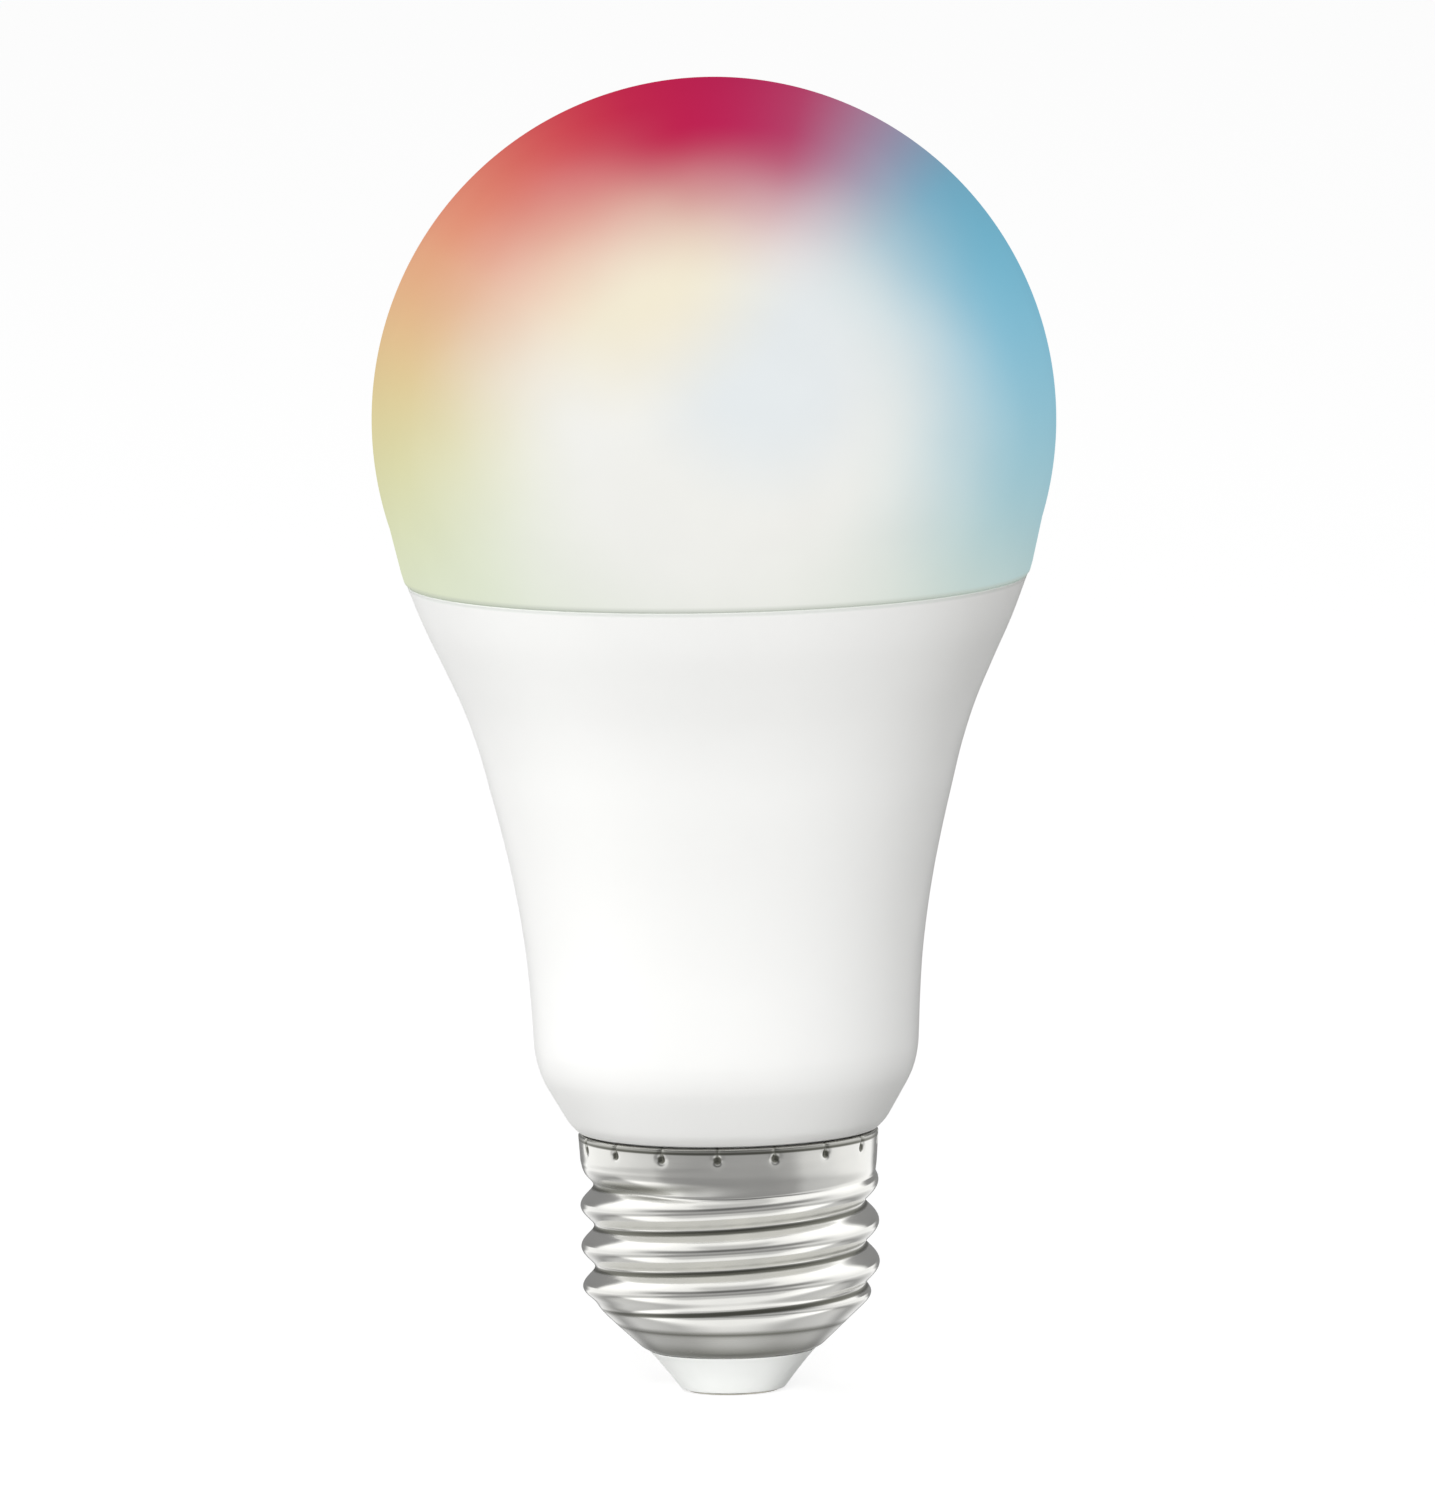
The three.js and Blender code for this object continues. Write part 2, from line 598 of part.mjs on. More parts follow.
addPart("driver_board", "greenBoard", driverBoard());
addPart("radio_board", "blueBoard", radioBoard());
addPart("radio_can", "steel", radioCan());
addPart("radio_header", "blackEpoxy", radioHeader());
addPart("led_header", "blackEpoxy", ledHeader());
addPart("bulk_capacitor", "blackSleeve", capacitorCan(BULK_CAPACITOR, 1));
addPart("output_capacitor", "blackSleeve", capacitorCan(OUTPUT_CAPACITOR, -1));
addPart("transformer_core", "ferrite", transformerCore());
addPart("transformer_bobbin", "blackEpoxy", transformerBobbin());
addPart("transformer_winding", "yellowTape", transformerWinding());
addPart("bridge_rectifier", "blackEpoxy", backChip(BRIDGE));
addPart("driver_ic", "blackEpoxy", backChip(DRIVER_CHIP));
addPart("film_capacitor", "redFilm", filmCapacitor());
addPart("fuse_resistor", "greyCeramic", fuseResistor());
addPart("filter_inductor", "ferrite", filterInductor());
addPart("live_wire", "redWire", liveWire());
addPart("neutral_wire", "whiteWire", neutralWire());

export default bulb;
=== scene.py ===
"""A smart light bulb: fine shells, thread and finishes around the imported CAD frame.

Metres, in the CAD frame: the centre contact's face is at the origin, +Z runs up the bulb's axis,
-Y is the front. Lengths written as n * MM are millimetres.
"""
import json
import math

import bmesh
import bpy
import numpy as np
from mathutils import Matrix, Vector


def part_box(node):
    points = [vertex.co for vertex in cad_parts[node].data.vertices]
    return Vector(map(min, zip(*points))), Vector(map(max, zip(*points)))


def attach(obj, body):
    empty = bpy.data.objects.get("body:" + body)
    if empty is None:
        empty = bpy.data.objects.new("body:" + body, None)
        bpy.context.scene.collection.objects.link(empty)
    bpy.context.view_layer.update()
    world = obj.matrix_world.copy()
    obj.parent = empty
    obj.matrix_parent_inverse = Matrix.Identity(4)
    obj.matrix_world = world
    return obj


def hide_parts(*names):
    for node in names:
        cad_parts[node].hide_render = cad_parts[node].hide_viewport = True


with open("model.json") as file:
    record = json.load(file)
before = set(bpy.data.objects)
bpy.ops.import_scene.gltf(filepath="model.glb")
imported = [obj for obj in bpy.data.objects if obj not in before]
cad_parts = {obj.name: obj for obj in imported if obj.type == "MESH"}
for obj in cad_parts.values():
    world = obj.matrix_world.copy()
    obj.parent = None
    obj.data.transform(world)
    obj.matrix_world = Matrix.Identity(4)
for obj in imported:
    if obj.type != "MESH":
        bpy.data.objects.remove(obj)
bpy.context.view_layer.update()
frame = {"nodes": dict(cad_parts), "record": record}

MM = 0.001
TURN = 2 * math.pi

# Driving dimensions that the frame's boxes don't give.
DOME_R = 30 * MM
DOME_WALL = 1.3 * MM
DOME_SKIRT_ANGLE = math.radians(-17.46)
SEAM_GAP = 0.1 * MM
LIP_OVERHANG = 0.15 * MM  # of the dome past the housing at the seam
HOUSING_WALL = 1.6 * MM
GROOVE_OUTER, GROOVE_INNER, GROOVE_DEPTH = 25.95 * MM, 24.95 * MM, 2.2 * MM
NECK_INNER, NECK_R = 10 * MM, 11.4 * MM
CHIN = (23.5 * MM, 27 * MM)  # heights of the rounded chin above the cap
PITCH = 25.4 / 7 * MM
CREST_R, ROOT_R = 13.1 * MM, 11.93 * MM
CREST_AT_PLUS_X = 7.52 * MM
SHEET = 0.35 * MM
SHELL_LOW_R = 7.65 * MM
TAPER_SLOPE = 0.94  # rise of the shell's tapered end for each metre outwards
SKIRT_R, RIM_R = 13.0 * MM, 13.2 * MM
SKIRT_Z = 20 * MM
THREAD_TOP = 19.8 * MM
GROOVE_STARTS = (6.8 * MM, 8.2 * MM)  # heights over which the groove grows out of the taper
RUNOUT = (18.5 * MM, 19.4 * MM)  # heights of the groove between which it opens into the skirt
CREST_SINKS, CREST_ENDS = (19 * MM, 20.2 * MM), (20.2 * MM, 21 * MM)
CLOSED_SLOPE, OPEN_SLOPE = 1.36, 0.16  # of the skirt's lower edge, over a closed or open groove
CRIMPS = 16
CRIMP_DOWN = 1.08 * MM  # from the rim to the middle of a crimp's dent
CRIMP_PHASE = math.radians(-4.4)  # the crimp nearest the front, towards -X
DENT_R, DENT_DEPTH = 0.36 * MM, 0.26 * MM
SLOT_HALF, SLOT_DEPTH = 0.2 * MM, 0.12 * MM
RIM_CURL = 0.3 * MM
VIEW_TILT = math.radians(6.8)  # the camera looks down by this angle
VIEW_ROLL = math.radians(1.15)
FRAME_WIDTH = 125.9 * MM  # what the picture is wide at the bulb
ROOM_LIGHT = 0.495

dome_low, dome_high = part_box("dome_diffuser")
housing_low, housing_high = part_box("housing_shell")
shell_low, shell_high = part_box("screw_shell")
SEAM_Z = housing_high.z
DOME_CENTRE = Vector((0, 0, dome_high.z - DOME_R))


# ---------------------------------------------------------------- mesh helpers
def arc(radius, centre_z, start, end, steps):
    """Points of an arc about a centre on the axis, as (radius, height)."""
    angles = [start + (end - start) * i / steps for i in range(steps + 1)]
    return [(max(0.0, radius * math.cos(a)), centre_z + radius * math.sin(a)) for a in angles]


def rounded(corners, steps=4):
    """An outline from (radius, height, fillet) corners, each fillet a small curve."""
    points = []
    count = len(corners)
    for i, (r, z, fillet) in enumerate(corners):
        here = Vector((r, z))
        if not fillet:
            points.append((r, z))
            continue
        before = Vector(corners[i - 1][:2]) - here
        after = Vector(corners[(i + 1) % count][:2]) - here
        start = here + before.normalized() * min(fillet, before.length / 2)
        end = here + after.normalized() * min(fillet, after.length / 2)
        for k in range(steps + 1):
            t = k / steps
            points.append(tuple((1 - t) ** 2 * start + 2 * t * (1 - t) * here + t * t * end))
    return points


def mesh_from_rings(name, x, y, z, crease=40):
    """A mesh from grids of rows and columns that close on themselves both ways."""
    rows, columns = z.shape
    index = np.arange(rows * columns).reshape(rows, columns)
    right, up = np.roll(index, -1, 1), np.roll(index, -1, 0)
    faces = np.stack([index, right, np.roll(up, -1, 1), up], -1).reshape(-1, 4)
    mesh = bpy.data.meshes.new(name)
    mesh.from_pydata(np.stack([x, y, z], -1).reshape(-1, 3).tolist(), [], faces.tolist())
    return finished(name, mesh, crease)


def finished(name, mesh, crease=40):
    """Merges doubled points, faces the mesh outwards, shades it smooth and makes its object."""
    shape = bmesh.new()
    shape.from_mesh(mesh)
    bmesh.ops.remove_doubles(shape, verts=shape.verts, dist=1e-7)
    bmesh.ops.recalc_face_normals(shape, faces=shape.faces)
    shape.to_mesh(mesh)
    shape.free()
    mesh.shade_smooth()
    mesh.set_sharp_from_angle(angle=math.radians(crease))
    piece = bpy.data.objects.new(name, mesh)
    bpy.context.scene.collection.objects.link(piece)
    return piece


def turned(name, outline, columns=256, crease=40):
    """A turned piece. The outline closes on itself, along the axis if both its ends are there."""
    r, z = np.array(outline, float).T
    angle = np.arange(columns) * TURN / columns
    x, y = np.outer(r, np.cos(angle)), np.outer(r, np.sin(angle))
    return mesh_from_rings(name, x, y, np.outer(z, np.ones(columns)), crease)


def outer_outline(node, lowest):
    """(radius, height) of a CAD node's outward faces above a height, from the bottom up."""
    mesh = frame["nodes"][node].data
    widest = {}
    for face in mesh.polygons:
        outward = Vector((face.center.x, face.center.y, 0)).normalized()
        if face.normal.dot(outward) < 0.3:
            continue
        for i in face.vertices:
            x, y, z = mesh.vertices[i].co
            key = round(z, 6)
            widest[key] = max(widest.get(key, 0), math.hypot(x, y))
    return [(widest[z], z) for z in sorted(widest) if z >= lowest - 1e-6]


def smoothed(points, steps):
    """A Catmull-Rom curve through points."""
    ends = [2 * Vector(points[0]) - Vector(points[1]), 2 * Vector(points[-1]) - Vector(points[-2])]
    knots = [ends[0], *map(Vector, points), ends[1]]
    curve = []
    for a, b, c, d in zip(knots, knots[1:], knots[2:], knots[3:]):
        for k in range(steps):
            t = k / steps
            curve.append(tuple(0.5 * (2 * b + (c - a) * t + (2 * a - 5 * b + 4 * c - d) * t ** 2
                                      + (3 * b - a - 3 * c + d) * t ** 3)))
    return curve + [tuple(points[-1])]


def piece_for(piece, slot, material, *nodes):
    """Gives a piece its finish, hangs it on the root body and hides the CAD nodes that it stands for."""
    piece.data.materials.clear()
    piece.data.materials.append(material)
    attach(piece, "root")
    if nodes:
        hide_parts(*nodes)
    return piece


# ---------------------------------------------------------------- material helpers
def srgb(red, green, blue):
    """A screen colour from 0 to 255 as linear RGBA."""
    def linear(value):
        value /= 255
        return value / 12.92 if value <= 0.04045 else ((value + 0.055) / 1.055) ** 2.4
    return (linear(red), linear(green), linear(blue), 1.0)


def grey(value):
    return (value, value, value, 1.0)


class Nodes:
    """The few kinds of node that the finishes and the studio are made of."""

    def __init__(self, tree):
        self.tree = tree

    def plug(self, socket, value):
        if isinstance(value, bpy.types.NodeSocket):
            self.tree.links.new(value, socket)
        else:
            socket.default_value = value

    def node(self, kind, *inputs, **settings):
        made = self.tree.nodes.new("ShaderNode" + kind)
        for key, value in settings.items():
            setattr(made, key, value)
        for i, value in enumerate(inputs):
            if value is not None:
                self.plug(made.inputs[i], value)
        return made

    def place(self):
        return self.node("TexCoord").outputs["Object"]

    def math(self, operation, a, b=0.0, clamp=False):
        return self.node("Math", a, b, operation=operation, use_clamp=clamp).outputs[0]

    def step(self, value, low, high):
        """0 below low, 1 above high, smooth between; swapped limits turn it round."""
        rising = low < high
        made = self.node("MapRange", value, min(low, high), max(low, high),
                         float(not rising), float(rising), interpolation_type="SMOOTHSTEP")
        return made.outputs[0]

    def mix(self, factor, a, b):
        """Colour a where the factor is 0 and b where it is 1."""
        made = self.node("Mix", data_type="RGBA")
        self.plug(made.inputs[0], factor)
        self.plug(made.inputs[6], a)
        self.plug(made.inputs[7], b)
        return made.outputs[2]

    def ramp(self, factor, stops, interpolation="LINEAR"):
        """A colour ramp from (place, colour) stops."""
        made = self.node("ValToRGB", factor)
        made.color_ramp.interpolation = interpolation
        elements = made.color_ramp.elements
        while len(elements) < len(stops):
            elements.new(1.0)
        for element, (position, colour) in zip(elements, stops):
            element.position = position
            element.color = colour
        return made.outputs[0]

    def noise(self, vector, size, detail=2.0, roughness=0.5):
        """Noise with features about size metres across."""
        made = self.node("TexNoise")
        self.plug(made.inputs["Vector"], vector)
        made.inputs["Scale"].default_value = 1 / size
        made.inputs["Detail"].default_value = detail
        made.inputs["Roughness"].default_value = roughness
        return made.outputs[0]

    def stretched(self, vector, x, y, z):
        made = self.node("VectorMath", vector, (x, y, z), operation="MULTIPLY")
        return made.outputs[0]

    def range(self, value, low, high):
        """Noise, from 0 to 1, spread between two values."""
        return self.node("MapRange", value, 0.3, 0.7, low, high).outputs[0]


class Finish(Nodes):
    """A Principled material."""

    def __init__(self, name, **values):
        self.material = bpy.data.materials.new(name)
        self.material.use_nodes = True
        super().__init__(self.material.node_tree)
        self.shader = self.tree.nodes["Principled BSDF"]
        for socket, value in values.items():
            self.set(socket.replace("_", " "), value)

    def set(self, socket, value):
        self.plug(self.shader.inputs[socket], value)

    def bump(self, height, distance, strength=1.0):
        made = self.node("Bump")
        made.inputs["Strength"].default_value = strength
        made.inputs["Distance"].default_value = distance
        self.plug(made.inputs["Height"], height)
        self.set("Normal", made.outputs[0])


# ---------------------------------------------------------------- dome
# The hues round the dome's rim by angle in degrees, clockwise from the bottom seen from the front.
# Every hue fades to white towards the middle by the same rule, except that the crimson and its
# neighbours reach a little further in.
RIM_HUES = {
    "pale green": (60, (220, 230, 205)),
    "lemon": (90, (220, 215, 155)),
    "apricot": (120, (230, 160, 130)),
    "coral": (135, (220, 130, 110)),
    "red": (150, (210, 75, 85)),
    "crimson": (165, (195, 35, 75)),
    "cerise": (195, (185, 25, 90)),
    "mauve": (210, (165, 145, 170)),
    "teal": (225, (100, 175, 200)),
    "sky": (255, (135, 195, 220)),
    "pale cyan": (285, (165, 205, 215)),
    "mist": (310, (210, 220, 210)),
}
BOTTOM_HUE = (225, 230, 220)
BOTTOM_REACH = 25  # degrees to each side of the bottom that keep its hue
HUE_FADE = (0.36, 0.95)  # shares of the dome's radius where a hue starts and where it is full
DEEP_FADE = (0.36, 0.86)  # the same at the crimson
DEEP_ANGLE = 185
DEEP_REACH = (35, 10)  # degrees from there where the deeper fade is gone and full
CORE_TINT = (239, 239, 235)
# Each patch is its tint, its middle, and the distances from there where it is gone and full.
COOL_PATCH = ((228, 233, 235), (5 * MM, -29 * MM, 4 * MM), (14 * MM, 4 * MM))
WARM_PATCH = ((240, 232, 210), (-8 * MM, -25 * MM, 14 * MM), (17 * MM, 5 * MM))
# Painted shade along the dome's lip at the seam, where the housing's wall blocks the light.
LIP_SHADE_TINT = (188, 195, 184)


def rim_hue(finish, angle):
    """The hue at the rim for an angle given as a share of a turn."""
    low = (BOTTOM_REACH, BOTTOM_HUE)
    high = (360 - BOTTOM_REACH, BOTTOM_HUE)
    stops = [(degrees / 360, srgb(*hue)) for degrees, hue in (low, *RIM_HUES.values(), high)]
    return finish.ramp(angle, stops, "B_SPLINE")


def hue_strength(finish, angle, share):
    """How much of the rim's hue shows at a share of the dome's radius."""
    plain = finish.step(share, *HUE_FADE)
    deep = finish.step(share, *DEEP_FADE)
    from_deep = finish.math("ABSOLUTE", finish.math("SUBTRACT", angle, DEEP_ANGLE / 360))
    near = finish.step(from_deep, DEEP_REACH[0] / 360, DEEP_REACH[1] / 360)
    return finish.math("ADD", plain, finish.math("MULTIPLY", near, finish.math("SUBTRACT", deep, plain)))


def tint_patch(finish, spot, colour, patch):
    """Lay a soft round patch of tint on the lit middle, at a point given from the dome's middle."""
    tint, middle, reach = patch
    distance = finish.node("VectorMath", operation="DISTANCE")
    finish.plug(distance.inputs[0], spot)
    distance.inputs[1].default_value = middle
    return finish.mix(finish.step(distance.outputs["Value"], *reach), colour, srgb(*tint))


def dome_finish():
    """Milky plastic, lit from inside: white towards the front and back, tinted at the rim, and greyed by
    painted shade along the lip at the seam.
    """
    finish = Finish("frosted_diffuser", Roughness=0.6)
    finish.set("Specular IOR Level", 0.0)
    place = finish.place()
    centred = finish.node("VectorMath", place, tuple(DOME_CENTRE), operation="SUBTRACT").outputs[0]
    tilted = finish.node("VectorRotate", rotation_type="EULER_XYZ")
    finish.plug(tilted.inputs["Vector"], centred)
    tilted.inputs["Rotation"].default_value = (VIEW_TILT, 0, 0)
    rolled = finish.node("VectorRotate", rotation_type="EULER_XYZ")
    finish.plug(rolled.inputs["Vector"], tilted.outputs[0])
    rolled.inputs["Rotation"].default_value = (0, -VIEW_ROLL, 0)
    parts = finish.node("SeparateXYZ", rolled.outputs[0])
    across = finish.math("DIVIDE", parts.outputs["X"], DOME_R)
    upward = finish.math("DIVIDE", parts.outputs["Z"], DOME_R)
    angle = finish.math("ARCTAN2", across, upward)
    angle = finish.math("ADD", finish.math("DIVIDE", angle, TURN), 0.5)
    squares = finish.math("ADD", finish.math("POWER", across, 2), finish.math("POWER", upward, 2))
    waver = finish.range(finish.noise(place, 12 * MM, 1), -0.02, 0.02)
    share = finish.math("ADD", finish.math("SQRT", squares), waver)
    colour = srgb(*CORE_TINT)
    for patch in (COOL_PATCH, WARM_PATCH):
        colour = tint_patch(finish, rolled.outputs[0], colour, patch)
    colour = finish.mix(hue_strength(finish, angle, share), colour, rim_hue(finish, angle))
    height = finish.node("SeparateXYZ", place).outputs["Z"]
    # Painted shade: the lip goes greyer next to the seam with the housing.
    edge = finish.step(height, SEAM_Z + 0.6 * MM, SEAM_Z + 0.2 * MM)
    colour = finish.mix(finish.math("MULTIPLY", edge, 0.5), colour, srgb(*LIP_SHADE_TINT))
    mottle = finish.range(finish.noise(place, 9 * MM, 3), 0.985, 1.01)
    tone = finish.node("VectorMath", colour, operation="SCALE")
    finish.plug(tone.inputs["Scale"], mottle)
    milky = finish.node("VectorMath", tone.outputs[0], operation="SCALE")
    milky.inputs["Scale"].default_value = 0.2
    finish.set("Base Color", milky.outputs[0])
    finish.set("Emission Color", tone.outputs[0])
    finish.set("Emission Strength", 0.79)
    finish.bump(finish.noise(place, 0.25 * MM, 3), 0.01 * MM, 0.3)
    return finish.material


def dome_skin():
    """The diffuser: a sphere that runs into a tapered skirt, with its tongue for the groove."""
    centre = DOME_CENTRE.z
    lip = SEAM_Z + SEAM_GAP
    seam_r = outer_outline("housing_shell", SEAM_Z)[-1][0] + LIP_OVERHANG
    tongue_low = dome_low.z
    top = math.pi / 2
    inner_r = DOME_R - DOME_WALL
    edge = rounded([
        (seam_r - DOME_WALL - 0.2 * MM, lip + 2 * MM, 0), (25.1 * MM, lip, 0.3 * MM),
        (25.1 * MM, tongue_low, 0.15 * MM), (25.8 * MM, tongue_low, 0.15 * MM),
        (25.8 * MM, lip, 0), (seam_r, lip, 0.25 * MM), (seam_r + 0.3 * MM, lip + 1 * MM, 0),
    ])
    outline = arc(inner_r, centre, top, DOME_SKIRT_ANGLE, 60) + edge
    outline += arc(DOME_R, centre, DOME_SKIRT_ANGLE, top, 90)
    return turned("dome_skin", outline, 288)


# ---------------------------------------------------------------- housing
def housing_finish():
    """Satin white moulding with the faintest orange peel, and a greyer band of painted shade along the
    seam.
    """
    finish = Finish("satin_housing", Roughness=0.4)
    finish.set("Specular IOR Level", 0.25)
    place = finish.place()
    cloud = finish.noise(place, 14 * MM, 3)
    colour = finish.mix(cloud, srgb(247, 247, 246), srgb(243, 243, 242))
    height = finish.node("SeparateXYZ", place).outputs["Z"]
    # Painted shade: the top edge goes greyer along the seam with the dome.
    edge = finish.step(height, SEAM_Z - 0.45 * MM, SEAM_Z - 0.2 * MM)
    finish.set("Base Color", finish.mix(edge, colour, srgb(228, 230, 227)))
    finish.set("Roughness", finish.range(finish.noise(place, 3 * MM, 2), 0.36, 0.44))
    finish.bump(finish.noise(place, 0.6 * MM, 2), 0.006 * MM, 0.35)
    return finish.material


def housing_skin():
    """The flared skin with its groove for the dome, and the neck that goes into the cap."""
    shoulder_z = shell_high.z + 0.1 * MM
    outside = outer_outline("housing_shell", shoulder_z)
    bottom = housing_low.z
    flare = smoothed([p for p in outside if p[1] > CHIN[1]], 6)
    chin = [(r, z, 0.5 * MM) for r, z in outside if CHIN[0] < z <= CHIN[1]]
    shoulder_r = outside[0][0]
    lower = rounded([
        (NECK_INNER, bottom, 0.2 * MM), (NECK_R, bottom, 0.3 * MM), (NECK_R, shoulder_z, 0.3 * MM),
        (shoulder_r, shoulder_z, 0.18 * MM), *chin, (*flare[0], 0),
    ])[:-1]
    seam_r = flare[-1][0]
    groove_z = SEAM_Z - GROOVE_DEPTH
    rim = rounded([
        (*flare[-2], 0), (seam_r, SEAM_Z, 0.1 * MM), (GROOVE_OUTER, SEAM_Z, 0.1 * MM),
        (GROOVE_OUTER, groove_z, 0), (GROOVE_INNER, groove_z, 0),
    ])[1:]
    inside = [(r - HOUSING_WALL, z) for r, z in reversed(flare) if 29 * MM < z < groove_z - 0.5 * MM]
    floor = [(14.3 * MM, 28.1 * MM), (NECK_INNER, 23.8 * MM)]
    return turned("housing_skin", lower + flare[:-1] + rim + inside + floor, 288)


# ---------------------------------------------------------------- screw shell
def smooth(value, low, high):
    t = np.clip((value - low) / (high - low), 0, 1)
    return t * t * (3 - 2 * t)


def thread_wave(angle, z):
    """1 on the crest and 0 in the groove, which is a little narrower than the crest."""
    turns = (z - CREST_AT_PLUS_X) / PITCH - angle / TURN
    blunt = 0.45
    wave = np.sqrt(np.cos(math.pi * turns) ** 2 + blunt ** 2) - blunt
    return wave / (math.sqrt(1 + blunt ** 2) - blunt)


def groove_height(angle, z):
    """Height of the groove that a point between two crests belongs to."""
    turn = angle / TURN
    return CREST_AT_PLUS_X + PITCH * (np.floor((z - CREST_AT_PLUS_X) / PITCH - turn) + 0.5 + turn)


def lesser(a, b, blend=0.5 * MM):
    """The smaller of two sizes, with a rounded change from one to the other."""
    return (a + b - np.sqrt((a - b) ** 2 + blend ** 2)) / 2


def shell_radius(angle, z):
    """Outer radius of the screw shell: a tapered end, the thread and a plain skirt."""
    taper = SHELL_LOW_R + (z - shell_low.z) / TAPER_SLOPE
    base = lesser(taper, ROOT_R + 0.02 * MM)
    ridge = lesser(taper, CREST_R + 0.02 * MM) - base
    thread = base + ridge * thread_wave(angle, z)
    thread -= 0.25 * MM * smooth(z, *CREST_SINKS) + 0.5 * MM * smooth(z, *CREST_ENDS)
    groove = groove_height(angle, z)
    open_below, open_here = smooth(groove - PITCH, *RUNOUT), smooth(groove, *RUNOUT)
    above_crest = smooth(z - groove + PITCH / 2, 0, 0.35 * MM)
    opened = open_below + (open_here - open_below) * above_crest
    skirt = SKIRT_R + (RIM_R - SKIRT_R) * (z - SKIRT_Z) / (shell_high.z - SKIRT_Z)
    slope = CLOSED_SLOPE + (OPEN_SLOPE - CLOSED_SLOPE) * opened
    skirt += slope * lesser(z - THREAD_TOP, 0, 0.4 * MM)
    end = 0.3 * MM * np.clip(1 - (z - shell_low.z) / (0.5 * MM), 0, 1) ** 2
    return -lesser(-thread, -skirt, 0.15 * MM) - end


def crimp_offset(angle):
    """Distance along the skirt from the nearest crimp, in metres."""
    pitch = TURN / CRIMPS
    from_front = angle + math.pi / 2 - CRIMP_PHASE
    return (np.mod(from_front + pitch / 2, pitch) - pitch / 2) * RIM_R


def crimp_depth(angle, z):
    """How far a crimp presses the sheet in: a slot from the rim into a round dent."""
    across = crimp_offset(angle)
    down = shell_high.z - z
    dent = np.exp(-(across ** 2 + (down - CRIMP_DOWN) ** 2) / DENT_R ** 2)
    slot = np.exp(-(across / SLOT_HALF) ** 2) * (1 - smooth(down, CRIMP_DOWN - 0.3 * MM, CRIMP_DOWN))
    return DENT_DEPTH * dent + SLOT_DEPTH * slot


def shell_columns():
    """Angles round the shell, close together at each crimp."""
    pitch = TURN / CRIMPS
    fine = np.linspace(-0.8, 0.8, 17) * MM / RIM_R
    coarse = np.linspace(fine[-1], pitch + fine[0], 11)[1:-1]
    sector = np.concatenate([fine, coarse])
    start = CRIMP_PHASE - math.pi / 2
    return np.concatenate([start + k * pitch + sector for k in range(CRIMPS)])


def shell_rows():
    """Heights up the outside, closer together on the thread and at the crimps."""
    low, high = shell_low.z, shell_high.z
    end = np.linspace(low + 0.05 * MM, low + 0.6 * MM, 6)
    taper = np.linspace(end[-1], 7.5 * MM, 15)[1:]
    thread = np.arange(7.5 * MM, 20.6 * MM, PITCH / 32)[1:]
    skirt = np.linspace(thread[-1], 21.2 * MM, 4)[1:]
    crimps = np.linspace(skirt[-1], high - RIM_CURL, 21)[1:]
    return np.concatenate([end, taper, thread, skirt, crimps])


def screw_shell():
    """The pressed nickel shell as one thin sheet, its rim turned in over the neck."""
    angle = shell_columns()
    rows = shell_rows()
    z, a = np.meshgrid(rows, angle, indexing="ij")
    outer = shell_radius(a, z) - crimp_depth(a, z)
    curl = np.linspace(0, math.pi / 2, 7)[1:]
    rim_r = outer[-1:] - RIM_CURL * (1 - np.cos(curl))[:, None]
    rim_z = z[-1:] + RIM_CURL * np.sin(curl)[:, None]
    inner_rows = rows[::4][::-1]
    zi, ai = np.meshgrid(inner_rows, angle, indexing="ij")
    inner = shell_radius(ai, zi) - crimp_depth(ai, zi) - SHEET
    lip_r, lip_z = outer[:1] - SHEET / 2, z[:1] - 0.05 * MM
    radius = np.concatenate([outer, rim_r, inner, lip_r])
    height = np.concatenate([z, rim_z, zi, lip_z])
    piece = mesh_from_rings("cap_screw_shell", radius * np.cos(angle), radius * np.sin(angle), height, 60)
    # Painted shade and dark reflection, with some grime in the groove, go into a point attribute on the
    # sheet.
    paint_shell_shade(piece.data)
    return piece


def thread_shade_and_grime(angle, z):
    """Painted shade with some dirt at the bottom of the groove, and painted shade in the dark wedge where
    its last turn opens.
    """
    middle = groove_height(angle, z)
    on_thread = smooth(z, *GROOVE_STARTS) * (1 - smooth(middle, *RUNOUT))
    groove = 0.85 * on_thread * (1 - smooth(thread_wave(angle, z + 0.15 * MM), 0.0, 0.1))
    opening = smooth(middle, 17.8 * MM, 18.3 * MM) * (1 - smooth(middle, 18.9 * MM, 19.5 * MM))
    wedge = 0.6 * opening * np.exp(-((z - middle - 0.25 * MM) / (0.5 * MM)) ** 2)
    return [groove, wedge]


def taper_shade(z):
    """A painted dark reflection on the tapered end, darkest at its edge, and a thin line of painted shade
    above it.
    """
    painted_dark = (0.3 + 0.35 * (1 - smooth(z, 3.7 * MM, 5.4 * MM))) * (1 - smooth(z, 6.3 * MM, 6.8 * MM))
    return painted_dark + 0.35 * np.exp(-((z - 6.15 * MM) / (0.2 * MM)) ** 2)


def rim_shade(angle, z):
    """Painted shade in the crimps' hollows and slots, and a band of painted shade under the rim."""
    across, down = crimp_offset(angle), shell_high.z - z
    hollow = 0.85 - 0.85 * smooth(np.hypot(across, down - CRIMP_DOWN), 0.24 * MM, 0.48 * MM)
    slot = 0.6 * np.exp(-(across / SLOT_HALF) ** 2) * (down < CRIMP_DOWN)
    rim = (1 - smooth(down, 0.5 * MM, 0.68 * MM)) * (0.4 + 0.5 * smooth(down, 0.3 * MM, 0.52 * MM))
    return [hollow, slot, rim]


